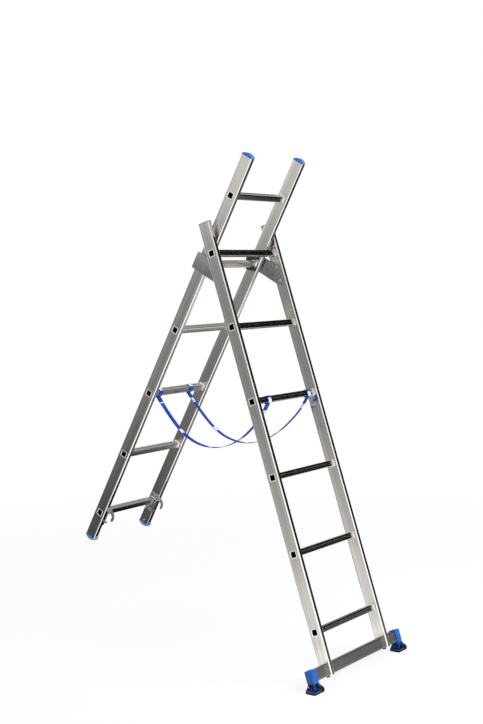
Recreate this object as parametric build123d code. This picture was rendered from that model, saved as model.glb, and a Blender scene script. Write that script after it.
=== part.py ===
from build123d import *
import math
import os

os.makedirs("parts", exist_ok=True)

# Combination ladder of two aluminium sections, stood up as an A-frame.
# Millimetres and degrees. X runs along the rungs, +Y from the climber's side to the rear, +Z up.
# The origin is on the floor, at the middle of the ladder's box seen from above.

# Stiles
stile_depth = 50.0
stile_width = 20.0
stile_wall = 1.6
stile_corner = 4.5

# Rungs, numbered from the bottom
rung_count = 6
rung_pitch = 280.0
rung_side = 23.0
rung_bevel = 2.5
rung_wall = 1.8
rung_fit = 0.1
flute_width = 8.0
flute_depth = 0.7
bead_width = 5.0
bead_flat = 2.4
bead_height = 2.4
rim_thickness = 1.4
rim_flat = 0.6
rim_height = 1.8
long_end = 154.0
short_end = 116.0

# The two sections
front_width = 411.0
section_gap = 12.0
front_lean = 17.9
pivot_rung_count = 5
hinge_drop = 15.5
fold_gap = 5.6
stop_gap = 2.3

# Steel brackets and jaws
plate_thickness = 3.0
bracket_top = 36.0
bracket_bottom = 27.0
bracket_rear = 5.0
bracket_front_inset = 11.0
bracket_corner = 3.0
bracket_bend = 2.6
bracket_tail = 28.0
flange_clearance = 2.0
jaw_clearance = 0.5
jaw_side_clearance = 1.5
jaw_thickness = 6.0
jaw_corner = 3.0
jaw_back = 25.0
upper_prong = 15.0
upper_prong_reach = 20.0
lower_prong = 15.0
lower_prong_reach = 14.5
lower_prong_root = 7.0
web_fold_margin = 2.0
rivet_radius = 3.0
rivet_head_radius = 5.5
rivet_head_height = 2.6
rivet_crown_radius = 3.4
rivet_fit = 0.05
bracket_rivet_first = 40.0
bracket_rivet_pitch = 54.0

# Stabiliser bar and its fixing
bar_length = 608.0
bar_height = 40.0
bar_depth = 25.0
bar_wall = 2.0
bar_corner = 3.0
bar_fit = 0.2
anchor_height = 30.0
anchor_fit = 0.15
bolt_radius = 4.0
bolt_head_across = 13.0
bolt_head_height = 5.3
bolt_grip = 24.0
bolt_fit = 0.1
washer_radius = 8.0
washer_thickness = 1.6

# Boots of the bar, on level rubber soles with a toe that rises round the inner part of the neck
boot_length = 31.0
boot_wall = 2.4
boot_slant = 2.0
boot_bevel = 1.8
boot_neck = 16.3
boot_base_thickness = 3.5
boot_rib = 3.2
boot_cell_depth = 4.0
sole_length = 66.0
sole_depth = 43.0
sole_corner = 6.0
sole_inset = 0.5
sole_forward = 7.2
tread_thickness = 6.0
toe_length = 26.0
toe_height = 20.0
toe_wall = 2.0
tread_scallop = 2.2
tread_scallop_pitch = 8.0
tread_groove_width = 3.0
tread_groove_depth = 2.0

# Plastic end pieces
plug_thickness = 2.5
plug_stub = 22.0
plug_fit = 0.2
cap_edge = 4.0
cap_rise = 9.0
foot_lip = 3.0
foot_lip_round = 1.2
foot_lip_height = 13.0
foot_groove_pitch = 9.0
foot_groove_width = 2.5
foot_groove_depth = 1.2
foot_rivet_height = 12.0

# Hooks and catches
hook_thickness = 4.0
hook_reach = 60.5
hook_claw = 10.8
hook_play = 1.5
hook_throat_top = 14.0
hook_crown = 17.0
hook_tip_drop = 12.0
hook_tip_taper = 1.6
hook_shoulder = 3.7
hook_corner = 4.0
hook_tail = 50.0
hook_back = 20.0
hook_hole_play = 0.5
hook_rivet_edge = 1.2
catch_thickness = 3.0
catch_play = 0.3
catch_pin_radius = 3.0
catch_pin_fit = 0.05
catch_boss = 7.0
catch_corner = 1.0
catch_pin_head = 4.9
catch_pin_drop = 38.0
catch_pin_inset = 15.0
catch_nose = 11.0
catch_nose_rise = 8.0
catch_tail = 15.0
catch_stop_radius = 2.5

# Straps
strap_width = 25.0
strap_thickness = 1.6
strap_play = 0.3
strap_end_gap = 1.4
front_strap_rung_count = 4
rear_strap_rung_count = 3
# Middle of each strap from the inner face of its stile, at the front rung and at the rear rung
left_strap_inset = (73.5, 41.5)
right_strap_inset = (37.5, 79.5)
# Sag of the free stretch from the front loop to the rear loop: share of the way back, drop below its start
strap_route = (
    (0.000, 0.0),
    (0.036, 36.0),
    (0.113, 84.0),
    (0.228, 138.0),
    (0.372, 174.0),
    (0.527, 183.0),
    (0.675, 164.0),
    (0.790, 124.0),
    (0.893, 68.0),
    (0.960, 25.0),
    (1.000, -3.0),
)

# Small round parts are drawn with flat sides
peg_side_count = 8
head_side_count = 12

# Cuts reach past what they cut by this much
cut_margin = 1.0

# Worked out from the sizes above
stile_length = long_end + (rung_count - 1) * rung_pitch + short_end
rear_width = front_width - 2 * stile_width - 2 * section_gap
front_rung_heights = [long_end + i * rung_pitch for i in range(rung_count)]
rear_rung_heights = [short_end + i * rung_pitch for i in range(rung_count)]
rung_half = rung_side / 2
rung_reach = math.hypot(rung_half, rung_half - rung_bevel)
half_depth = stile_depth / 2
front_inner = front_width / 2 - stile_width
rear_outer = rear_width / 2
rear_inner = rear_outer - stile_width
front_stile_x = front_width / 2 - stile_width / 2
rear_stile_x = rear_width / 2 - stile_width / 2

# The pivot rung lies so far back that the hooks clear the front rungs when the ladder is folded,
# and the ladder opens until the rear stiles are about to touch the front section's top rung.
hinge_back = hook_reach + rung_half + fold_gap
hinge_height = front_rung_heights[-1] - hinge_drop
pivot_height = rear_rung_heights[pivot_rung_count - 1]
stop_distance = half_depth + rung_reach + stop_gap
open_angle = math.degrees(
    math.acos(stop_distance / math.hypot(hinge_back, hinge_drop)) - math.atan2(hinge_drop, hinge_back)
)
rear_lean = open_angle - front_lean

# Boot sizes and the height of the stile ends over the floor
boot_depth = bar_depth + 2 * (bar_fit + boot_wall)
boot_outer = bar_length / 2 + bar_fit + boot_wall
boot_bottom = bar_fit + boot_wall
boot_middle = boot_outer - boot_length / 2
sole_top = tread_thickness + boot_base_thickness
sin_lean = math.sin(math.radians(front_lean))
cos_lean = math.cos(math.radians(front_lean))
stile_foot_height = sole_top + boot_neck + boot_bottom * cos_lean + boot_depth / 2 * sin_lean

# Places of the two sections before the origin is moved to the middle of the box
front_place = Pos(0, 0, stile_foot_height) * Rot(-front_lean, 0, 0)
sole_x = boot_middle - sole_inset
sole_y = (front_place * Pos(0, 0, -boot_bottom)).position.Y - sole_forward
hinge_place = front_place * Pos(0, hinge_back, hinge_height)
hinge_level = Pos(hinge_place.position)
hinge_tilted = hinge_level * Rot(rear_lean, 0, 0)
rear_place = hinge_tilted * Pos(0, 0, -pivot_height)

nodes = {}


def across(outline, start, end):
    """An outline in Y and Z, pushed along X from start to end."""
    return Pos(start, 0, 0) * extrude(Plane.YZ * outline, end - start)


def both_sides(name, piece, place=Location()):
    """Keep a right-hand piece and its mirror image as two nodes, with SIDE in the name filled in."""
    placed = place * piece
    nodes[name.replace("SIDE", "right")] = placed
    nodes[name.replace("SIDE", "left")] = mirror(placed, about=Plane.YZ)


def pair(name, piece, place=Location()):
    """Keep a right-hand fastener group and its mirror image as one node."""
    placed = place * piece
    nodes[name] = Compound(placed.solids() + mirror(placed, about=Plane.YZ).solids())


def ramp(first, last, start, end):
    """A solid along X that goes straight from one outline in Y and Z to another."""
    return loft([Pos(start, 0, 0) * (Plane.YZ * first), Pos(end, 0, 0) * (Plane.YZ * last)], ruled=True)


def peg_outline(radius):
    """The outline of a shank, with its corners at the radius."""
    return RegularPolygon(radius, peg_side_count)


def hole_outline(radius):
    """The outline of a hole for a shank, with its sides at the radius."""
    return RegularPolygon(radius, peg_side_count, major_radius=False)


def rivet(start, end):
    """A rivet along X: its shank runs from start to end, with the head outside the start."""
    base = RegularPolygon(rivet_head_radius, head_side_count)
    crown = RegularPolygon(rivet_crown_radius, head_side_count)
    head = ramp(crown, base, start - rivet_head_height, start)
    return head + across(peg_outline(rivet_radius), start, end)


def beveled(width, depth, bevel, grow=0.0):
    """A rectangle with beveled corners, grown evenly on all its sides."""
    leg = bevel + (2 - math.sqrt(2)) * grow
    return chamfer(Rectangle(width + 2 * grow, depth + 2 * grow).vertices(), leg)


def rung_outline(grow=0.0):
    return beveled(rung_side, rung_side, rung_bevel, grow)


# Stiles


def stile_bore(grow=0.0):
    bevel = max(stile_corner - stile_wall, stile_wall)
    return beveled(stile_width - 2 * stile_wall, stile_depth - 2 * stile_wall, bevel, grow)


def stile(rung_heights):
    body = extrude(RectangleRounded(stile_width, stile_depth, stile_corner) - stile_bore(), stile_length)
    hole = across(rung_outline(rung_fit), -stile_width, stile_width)
    for height in rung_heights:
        body -= Pos(0, 0, height) * hole
    return body


def wall_hole(height):
    """A rivet hole in the inner wall of a right-hand stile, on its centre line."""
    return Pos(0, 0, height) * across(hole_outline(rivet_radius + rivet_fit), -stile_width, 0)


front_stile = stile(front_rung_heights)
notch_height = bar_height + bar_fit
front_stile -= Pos(0, 0, notch_height / 2 - bar_wall) * Box(
    2 * stile_width, bar_depth + 2 * bar_fit, notch_height + 2 * bar_wall
)
bracket_rivet_heights = [
    hinge_height - bracket_rivet_first,
    hinge_height - bracket_rivet_first - bracket_rivet_pitch,
]
for height in bracket_rivet_heights:
    front_stile -= wall_hole(height)
both_sides("front_SIDE_stile", Pos(front_stile_x, 0, 0) * front_stile, front_place)

hook_height = rear_rung_heights[0]
hook_hole_grow = bead_height + hook_hole_play
hook_hole_half = rung_half + hook_hole_grow
hook_top_end = hook_throat_top + hook_crown
hook_rivet_heights = [
    hook_height + (hook_hole_half + hook_top_end) / 2,
    hook_height - hook_hole_half - rivet_head_radius - hook_rivet_edge,
]
rear_stile = stile(rear_rung_heights)
for height in hook_rivet_heights + [foot_rivet_height]:
    rear_stile -= wall_hole(height)
both_sides("rear_SIDE_stile", Pos(rear_stile_x, 0, 0) * rear_stile, rear_place)


# Rungs


def collar(height, seat, flat, end):
    """A ring that stands proud of a rung: flat from its seat on the stile, then sloping down to its end."""
    ring = rung_outline(height)
    return across(ring, seat, flat) + ramp(ring, rung_outline(), flat, end)


def rung(width):
    half = width / 2
    inner_face = half - stile_width
    body = across(rung_outline(), -half - rim_thickness, half + rim_thickness)
    for side in (-1, 1):
        bead_levels = [side * (inner_face - reach) for reach in (0, bead_flat, bead_width)]
        body += collar(bead_height, *bead_levels)
        rim_levels = [side * (half + reach) for reach in (0, rim_flat, rim_thickness)]
        body += collar(rim_height, *rim_levels)
    fluted = 2 * (inner_face - 2 * bead_width)
    for quarter in range(4):
        body -= Rot(90 * quarter, 0, 0) * Pos(0, 0, rung_half) * Box(fluted, flute_width, 2 * flute_depth)
    return body - across(rung_outline(-rung_wall), -half - 2 * rim_thickness, half + 2 * rim_thickness)


front_rung = rung(front_width)
rear_rung = rung(rear_width)
for i in range(rung_count):
    nodes[f"front_rung_{i + 1}"] = front_place * Pos(0, 0, front_rung_heights[i]) * front_rung
    nodes[f"rear_rung_{i + 1}"] = rear_place * Pos(0, 0, rear_rung_heights[i]) * rear_rung


# Plastic plugs, caps and feet


def stub():
    """The part of a plug that fills a stile's end, standing on Z = 0."""
    return extrude(stile_bore(-plug_fit), plug_stub)


def dome():
    """A domed end with the stile's outline, standing on Z = 0."""
    outline = make_face(
        [
            Polyline(
                (half_depth, cap_edge),
                (half_depth, 0),
                (-half_depth, 0),
                (-half_depth, cap_edge),
            ),
            ThreePointArc((-half_depth, cap_edge), (0, cap_edge + cap_rise), (half_depth, cap_edge)),
        ]
    )
    arch = across(outline, -stile_width / 2, stile_width / 2)
    column = extrude(beveled(stile_width, stile_depth, stile_corner / 2), cap_edge + cap_rise)
    return arch & column


plug_flange = extrude(beveled(stile_width, stile_depth, stile_corner / 2), plug_thickness)
top_plug = Pos(0, 0, -plug_stub) * stub() + plug_flange
both_sides("front_SIDE_top_plug", Pos(front_stile_x, 0, stile_length) * top_plug, front_place)

top_cap = Pos(0, 0, -plug_stub) * stub() + dome()
both_sides("rear_SIDE_top_cap", Pos(rear_stile_x, 0, stile_length) * top_cap, rear_place)

foot_bottom = cap_edge + cap_rise
foot = Rot(180, 0, 0) * dome()
lip_outline = beveled(foot_lip, foot_lip_height + cap_edge, foot_lip_round)
lip = across(lip_outline, -stile_width / 2 + stile_corner / 2, stile_width / 2 - stile_corner / 2)
foot += Pos(0, -half_depth - foot_lip / 2, (foot_lip_height - cap_edge) / 2) * lip
groove_rows = int(half_depth / foot_groove_pitch)
dome_radius = (half_depth**2 + cap_rise**2) / (2 * cap_rise)
for row in range(-groove_rows, groove_rows + 1):
    offset_y = row * foot_groove_pitch
    sole_z = -foot_bottom + dome_radius - math.sqrt(dome_radius**2 - offset_y**2)
    foot -= Pos(0, offset_y, sole_z) * Box(2 * stile_width, foot_groove_width, 2 * foot_groove_depth)
foot += stub()
foot -= wall_hole(foot_rivet_height)
both_sides("rear_SIDE_foot", Pos(rear_stile_x, 0, 0) * foot, rear_place)
foot_rivet = Pos(0, 0, foot_rivet_height) * rivet(rear_inner, rear_stile_x - rivet_fit)
pair("foot_rivets", foot_rivet, rear_place)


# Stabiliser bar


bar_section = RectangleRounded(bar_depth, bar_height, bar_corner)
bar_section -= Rectangle(bar_depth - 2 * bar_wall, bar_height - 2 * bar_wall)
bar = Pos(0, 0, bar_height / 2) * across(bar_section, -bar_length / 2, bar_length / 2)
bolt_outline = hole_outline(bolt_radius + bolt_fit)
bolt_hole = Pos(0, 0, -bar_height / 2) * extrude(bolt_outline, 2 * bar_height)
for side in (-1, 1):
    bar -= Pos(side * front_stile_x, 0, 0) * bolt_hole
nodes["stabiliser_bar"] = front_place * bar

anchor_bottom = notch_height
anchor = Pos(0, 0, anchor_bottom) * extrude(stile_bore(-anchor_fit) - bolt_outline, anchor_height)
both_sides("bar_anchor_SIDE", Pos(front_stile_x, 0, 0) * anchor, front_place)

washer_outline = RegularPolygon(washer_radius, head_side_count) - bolt_outline
washer = Pos(0, 0, -washer_thickness) * extrude(washer_outline, washer_thickness)
pair("bar_washers", Pos(front_stile_x, 0, 0) * washer, front_place)

bolt_head = Pos(0, 0, -washer_thickness - bolt_head_height) * extrude(
    RegularPolygon(bolt_head_across / 2, 6, major_radius=False), bolt_head_height
)
bolt_length = washer_thickness + anchor_bottom + bolt_grip
bolt = bolt_head + Pos(0, 0, -washer_thickness) * extrude(peg_outline(bolt_radius), bolt_length)
pair("bar_bolts", Pos(front_stile_x, 0, 0) * bolt, front_place)


# Boots and treads


def cells(left_top, right_top, right_bottom, left_bottom):
    """Four triangular cells between the edges and crossed ribs of a four-sided panel."""
    corners = [left_top, right_top, right_bottom, left_bottom]
    middle = (sum(p[0] for p in corners) / 4, sum(p[1] for p in corners) / 4)
    panel = Sketch()
    for i in range(4):
        triangle = make_face(Polyline(corners[i], corners[(i + 1) % 4], middle, close=True))
        panel += offset(triangle, amount=-boot_rib / 2, kind=Kind.INTERSECTION)
    return panel


def sole_layer(outline, start, end, low, high):
    """The part of a sole between two places along X, from its middle, and two levels."""
    strip = Pos((start + end) / 2, 0) * Rectangle(end - start, sole_depth)
    return Pos(0, 0, low) * extrude(outline & strip, high - low)


def flare(grow_x=0.0, grow_y=0.0):
    """The solid flare of a right-hand neck, from the sole up to the socket, grown on its sides."""
    low_length = sole_length - sole_corner + 2 * grow_x
    low_depth = sole_depth - sole_corner + 2 * grow_y
    low_face = Pos(sole_x, sole_y, (tread_thickness + sole_top) / 2) * Rectangle(low_length, low_depth)
    waist_length = boot_length - 2 * boot_wall + 2 * grow_x
    waist_depth = boot_depth - 2 * boot_wall + 2 * grow_y
    waist = Pos(boot_middle, 0, -boot_bottom + boot_wall / 2) * Rectangle(waist_length, waist_depth)
    return loft([low_face, front_place * waist], ruled=True)


sole_outline = beveled(sole_length, sole_depth, sole_corner)
toe_end = toe_length - sole_length / 2


def boot():
    """A right-hand boot: a socket for the bar's end, and a ribbed neck that spreads to the sole."""
    socket_outline = make_face(
        Polyline(
            (boot_outer - boot_length - boot_slant, bar_height + boot_bottom),
            (boot_outer, bar_height + boot_bottom),
            (boot_outer, -boot_bottom),
            (boot_outer - boot_length, -boot_bottom),
            close=True,
        )
    )
    socket = Pos(0, boot_depth / 2, 0) * extrude(Plane.XZ * socket_outline, boot_depth)
    long_edges = socket.edges().filter_by(Axis.X)
    end_edges = socket.faces().sort_by(Axis.X)[-1].edges()
    socket = chamfer(long_edges + end_edges, boot_bevel)

    base = sole_layer(sole_outline, toe_end, sole_length / 2, tread_thickness, sole_top)
    neck = flare()

    waist_front, waist_rear = [
        (front_place * Pos(0, y, -boot_bottom)).position
        for y in (-boot_depth / 2 + boot_wall, boot_depth / 2 - boot_wall)
    ]
    panel_foot = (sole_depth - sole_corner) / 2
    end_panel = cells(
        (waist_front.Y, waist_front.Z - boot_rib / 2),
        (waist_rear.Y, waist_rear.Z - boot_rib / 2),
        (sole_y + panel_foot, sole_top),
        (sole_y - panel_foot, sole_top),
    )
    neck -= across(end_panel, boot_middle, boot_outer + sole_length) - flare(-boot_cell_depth, 0)
    panel_inner = sole_x + toe_end
    panel_outer = sole_x + (sole_length - sole_corner) / 2
    for edge, toward in ((waist_front, -1), (waist_rear, 1)):
        side_panel = cells(
            (panel_inner, edge.Z - boot_rib / 2),
            (boot_outer - boot_wall, edge.Z - boot_rib / 2),
            (panel_outer, sole_top),
            (panel_inner, sole_top),
        )
        cell_block = Pos(0, sole_y, 0) * extrude(Plane.XZ * side_panel, -toward * sole_depth)
        neck -= cell_block - flare(0, -boot_cell_depth)

    pocket_section = Rectangle(bar_depth + 2 * bar_fit, bar_height + 2 * bar_fit)
    pocket = Pos(0, 0, bar_height / 2) * across(pocket_section, 0, bar_length / 2 + bar_fit)
    return front_place * socket + neck + Pos(sole_x, sole_y, 0) * base - front_place * pocket


both_sides("SIDE_bar_shoe", boot())


def tread():
    """A rubber sole with a notched edge, a raised toe round the neck and grooves across its underside."""
    outline = sole_outline
    half = sole_length / 2
    notch = RegularPolygon(tread_scallop, 6)
    along = int((half - sole_corner) / tread_scallop_pitch)
    athwart = int((sole_depth / 2 - sole_corner) / tread_scallop_pitch)
    for edge in (-1, 1):
        for step in range(-along, along + 1):
            outline -= Pos(step * tread_scallop_pitch, edge * sole_depth / 2) * notch
        for step in range(-athwart, athwart + 1):
            outline -= Pos(edge * half, step * tread_scallop_pitch) * notch
    body = sole_layer(outline, -half, half, 0, tread_thickness)
    for step in range(-along, along):
        groove_x = (step + 0.5) * tread_scallop_pitch
        body -= Pos(groove_x, 0, 0) * Box(tread_groove_width, 2 * sole_depth, 2 * tread_groove_depth)
    sole_place = Pos(sole_x, sole_y, 0)
    toe_space = sole_place * sole_layer(sole_outline, -half, toe_end, tread_thickness, toe_height)
    toe = flare(toe_wall, toe_wall) & toe_space
    toe += sole_place * sole_layer(sole_outline, -half, toe_end, tread_thickness, sole_top)
    return sole_place * body + toe - flare()


both_sides("SIDE_tread", tread())


# Brackets: Y and Z in the outlines are measured from the pivot rung's axis


open_turn = math.radians(open_angle)
rear_edge = half_depth + bracket_rear
flange_width = section_gap - flange_clearance


def front_point(depth, height):
    """A point of the front section, seen from the pivot rung in the rear section's tilt."""
    y = depth - hinge_back
    z = height - hinge_height
    cosine = math.cos(open_turn)
    sine = math.sin(open_turn)
    return (y * cosine + z * sine, z * cosine - y * sine)


def front_level(depth, level):
    """The point at a depth in the front section that lies at a level over the pivot rung, in that tilt."""
    y = depth - hinge_back
    return front_point(depth, hinge_height + (level + y * math.sin(open_turn)) / math.cos(open_turn))


def bracket():
    """A right-hand side plate: it lies on the front stile's inner face and turns in at its free edges."""
    front_edge = -half_depth + bracket_front_inset
    outline = make_face(
        Polyline(
            (rear_edge, bracket_top),
            front_level(front_edge, bracket_top),
            front_point(front_edge, bracket_rivet_heights[1] - bracket_tail),
            front_level(half_depth - bracket_rear, -bracket_bottom),
            (rear_edge, -bracket_bottom),
            close=True,
        )
    )
    plate = across(outline, front_inner - plate_thickness, front_inner)
    corner_edges = plate.edges().filter_by(Axis.X)
    plate = chamfer(corner_edges.sort_by(Axis.Y)[:3], bracket_corner)
    flange_x = front_inner - flange_width / 2
    top_length = rear_edge + half_depth
    plate += Pos(flange_x, rear_edge - top_length / 2, bracket_top - plate_thickness / 2) * Box(
        flange_width, top_length, plate_thickness
    )
    side_length = bracket_top + bracket_bottom
    plate += Pos(flange_x, rear_edge - plate_thickness / 2, bracket_top - side_length / 2) * Box(
        flange_width, plate_thickness, side_length
    )
    bend = plate.edges().filter_by(Axis.X, reverse=True).group_by(Axis.X)[-1]
    plate = chamfer(bend.filter_by(Axis.Y).sort_by(Axis.Z)[-1:], bracket_bend)
    for height in bracket_rivet_heights:
        spot = front_point(0, height)
        plate -= Pos(0, spot[0], spot[1]) * across(hole_outline(rivet_radius + rivet_fit), 0, front_width)
    return plate


both_sides("SIDE_bracket", bracket(), hinge_tilted)
bracket_rivet = rivet(front_inner - plate_thickness, front_stile_x)
rivet_pair = Part()
for height in bracket_rivet_heights:
    rivet_pair += Pos(0, 0, height) * bracket_rivet
pair("bracket_rivets", rivet_pair, front_place)


def rung_jaw():
    """A right-hand jaw: a plate inside the rear stile, open to the front, with a web behind the stile."""
    half_gap = rung_reach + jaw_clearance
    plate_end = rear_inner - bead_width - jaw_side_clearance
    plate_start = plate_end - jaw_thickness
    upper = half_gap + upper_prong
    lower = half_gap + lower_prong
    web_tilt = Rot(rear_lean, 0, 0)
    heel = (web_tilt * Pos(0, rear_edge, -bracket_bottom)).position
    outline = make_face(
        Polyline(
            (-upper_prong_reach, half_gap),
            (-upper_prong_reach, upper),
            (jaw_back, upper),
            (heel.Y, heel.Z),
            (jaw_back, -half_gap - lower_prong_root),
            (-lower_prong_reach, -lower),
            (-lower_prong_reach, -half_gap),
            (0, -half_gap),
            (0, half_gap),
            close=True,
        )
    )
    plate = across(outline - Circle(half_gap), plate_start, plate_end)
    tips = plate.edges().filter_by(Axis.X)
    plate = chamfer([tips.sort_by(Axis.Z)[0], tips.group_by(Axis.Y)[0].sort_by(Axis.Z)[-1]], jaw_corner)

    web_face = rear_edge - plate_thickness
    web_top = (web_face - half_depth / math.cos(open_turn)) / math.tan(open_turn) - web_fold_margin
    web_height = web_top + bracket_bottom
    web_end = front_inner - flange_width
    web = Box(web_end - plate_start, plate_thickness, web_height)
    web_y = rear_edge - plate_thickness / 2
    web_place = web_tilt * Pos((plate_start + web_end) / 2, web_y, web_top - web_height / 2)
    return plate + web_place * web


both_sides("SIDE_rung_jaw", rung_jaw(), hinge_level)


# Hooks and catches: Y and Z in the outlines are measured from the lowest rear rung's axis


hook_place = rear_place * Pos(0, 0, hook_height)
throat_half = rung_half + hook_play / 2
throat_y = -half_depth - throat_half
throat_z = hook_throat_top - throat_half
pin_y = -half_depth + catch_pin_inset
pin_z = -catch_pin_drop
hook_plate_start = rear_inner - hook_thickness
pin_hole = hole_outline(catch_pin_radius + catch_pin_fit)
catch_end = hook_plate_start - catch_play
catch_start = catch_end - catch_thickness


def hook():
    """A right-hand hook plate: it lies on the rear stile's inner face round the lowest rung."""
    claw_outer = -hook_reach
    claw_inner = throat_y - throat_half
    tip_z = -hook_tip_drop
    crown_z = hook_top_end
    shoulder_y = -half_depth - hook_shoulder
    tip_end = tip_z + hook_claw / 2
    tip_outer = claw_outer + hook_tip_taper
    tip_middle = (tip_outer + claw_inner) / 2
    outline = make_face(
        [
            Line((hook_back, crown_z), (shoulder_y, crown_z)),
            TangentArc((shoulder_y, crown_z), (claw_outer, throat_z), tangent=(-1, 0)),
            Line((claw_outer, throat_z), (tip_outer, tip_end)),
            ThreePointArc((tip_outer, tip_end), (tip_middle, tip_z), (claw_inner, tip_end)),
            Line((claw_inner, tip_end), (claw_inner, throat_z)),
            ThreePointArc((claw_inner, throat_z), (throat_y, hook_throat_top), (-half_depth, throat_z)),
            Polyline(
                (-half_depth, throat_z),
                (-half_depth, -hook_tail),
                (hook_back, -hook_tail),
                (hook_back, crown_z),
            ),
        ]
    )
    outline -= rung_outline(hook_hole_grow)
    plate = across(outline, hook_plate_start, rear_inner)
    corners = plate.edges().filter_by(Axis.X).group_by(Axis.Y)[-1]
    plate = chamfer(corners, hook_corner)
    for height in hook_rivet_heights:
        rivet_hole = across(hole_outline(rivet_radius + rivet_fit), 0, rear_inner + cut_margin)
        plate -= Pos(0, 0, height - hook_height) * rivet_hole
    plate -= Pos(0, pin_y, pin_z) * across(pin_hole, 0, rear_inner + cut_margin)
    stop = across(peg_outline(catch_stop_radius), catch_start, hook_plate_start)
    stop_y = pin_y + catch_tail - catch_stop_radius
    stop_z = pin_z + catch_boss / 2 + catch_stop_radius + catch_play
    return plate + Pos(0, stop_y, stop_z) * stop


both_sides("SIDE_hook", hook(), hook_place)
hook_rivet = rivet(hook_plate_start, rear_stile_x)
rivet_pair = Part()
for height in hook_rivet_heights:
    rivet_pair += Pos(0, 0, height) * hook_rivet
pair("hook_rivets", rivet_pair, rear_place)


def catch():
    """A right-hand catch: a nose under the throat, a boss round the pin and a tail under its stop."""
    nose_y = -half_depth - catch_nose
    nose_z = pin_z + catch_nose_rise
    outline = make_face(
        Polyline(
            (pin_y, pin_z + catch_boss),
            (nose_y, nose_z),
            (nose_y + catch_boss / 4, nose_z - catch_boss),
            (pin_y, pin_z - catch_boss),
            (pin_y + catch_tail, pin_z - catch_boss / 2),
            (pin_y + catch_tail, pin_z + catch_boss / 2),
            (pin_y + catch_boss / 2, pin_z + catch_boss / 2),
            close=True,
        )
    )
    plate = across(outline, catch_start, catch_end)
    plate = chamfer(plate.edges().filter_by(Axis.X), catch_corner)
    return plate - Pos(0, pin_y, pin_z) * across(pin_hole, 0, rear_inner)


both_sides("SIDE_catch", catch(), hook_place)
pin_start = catch_start - catch_play
catch_pin = across(Circle(catch_pin_radius), pin_start, rear_inner - rivet_fit)
pin_head_outline = RegularPolygon(catch_pin_head, head_side_count)
pin_head = across(pin_head_outline, pin_start - catch_thickness / 2, pin_start)
pair("catch_pins", Pos(0, pin_y, pin_z) * (catch_pin + pin_head), hook_place)


# Straps


def strap_loop(middle_x):
    """A sewn loop of webbing round a rung, with the rung's axis at Y = Z = 0."""
    ring = rung_outline(strap_play + strap_thickness) - rung_outline(strap_play)
    return across(ring, middle_x - strap_width / 2, middle_x + strap_width / 2)


front_loop_place = front_place * Pos(0, 0, front_rung_heights[front_strap_rung_count - 1])
rear_loop_place = rear_place * Pos(0, 0, rear_rung_heights[rear_strap_rung_count - 1])
loop_half = rung_half + strap_play + strap_thickness


def strap(name, front_x, rear_x):
    """The free stretch of a strap: a level-edged band that hangs between the two loops."""
    start = (front_loop_place * Pos(front_x, 0, -loop_half - strap_end_gap)).position
    end = (rear_loop_place * Pos(rear_x, 0, -loop_half - strap_end_gap)).position
    run = Vector(end.X - start.X, end.Y - start.Y, 0)
    points = [start + run * share + Vector(0, 0, -drop) for share, drop in strap_route]
    radii = []
    for before, here, after in zip(points, points[1:], points[2:]):
        turn = math.radians((here - before).get_angle(after - here))
        shorter = min((here - before).length, (after - here).length)
        radii.append(0.45 * shorter / math.tan(turn / 2))
    path = FilletPolyline(*points, radius=radii)
    level = Vector(0, 0, 1).cross(run).normalized()
    profile = Plane(origin=path @ 0, x_dir=level, z_dir=path % 0) * Rectangle(strap_width, strap_thickness)
    band = sweep(profile, path=path)
    print(name, "length", round(path.length, 1), "radii", [round(r) for r in radii])
    swept = path.length * strap_width * strap_thickness
    print(name, "volume over section times length", round(band.volume / swept, 4))
    print(name, "points", [tuple(round(c, 1) for c in (p.X, p.Y, p.Z)) for p in points])
    return band


for name, side, inset in (("left", -1, left_strap_inset), ("right", 1, right_strap_inset)):
    front_x = side * (front_inner - inset[0])
    rear_x = side * (rear_inner - inset[1])
    nodes[f"{name}_strap_front_loop"] = front_loop_place * strap_loop(front_x)
    nodes[f"{name}_strap_rear_loop"] = rear_loop_place * strap_loop(rear_x)
    nodes[f"{name}_strap"] = strap(name, front_x, rear_x)


# Move the origin to the middle of the rigid pieces' box, on the floor, and write each node

rigid = [piece.bounding_box() for name, piece in nodes.items() if not name.endswith("strap")]
middle_y = (min(box.min.Y for box in rigid) + max(box.max.Y for box in rigid)) / 2
for name, piece in nodes.items():
    export_step(Pos(0, -middle_y, 0) * piece, f"parts/{name}.step")

top = max(box.max.Z for box in rigid)
print("nodes", len(nodes), "open angle", round(open_angle, 3), "rear lean", round(rear_lean, 3))
print("depth", round(2 * (max(box.max.Y for box in rigid) - middle_y), 2), "height", round(top, 2))
print("hinge", round(hinge_level.position.Y - middle_y, 3), round(hinge_level.position.Z, 3))
pin = (hook_place * Pos(0, pin_y, pin_z)).position
print("catch pin", round(pin.Y - middle_y, 3), round(pin.Z, 3))
print("sole", round(sole_x, 3), round(sole_y - middle_y, 3), "middle y", round(middle_y, 3))
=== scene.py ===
import math
from functools import partialmethod

import bmesh
import bpy
from bpy.props import FloatProperty, FloatVectorProperty, PointerProperty
from bpy.types import Operator, Panel, PropertyGroup
from mathutils import Euler, Matrix, Vector


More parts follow.
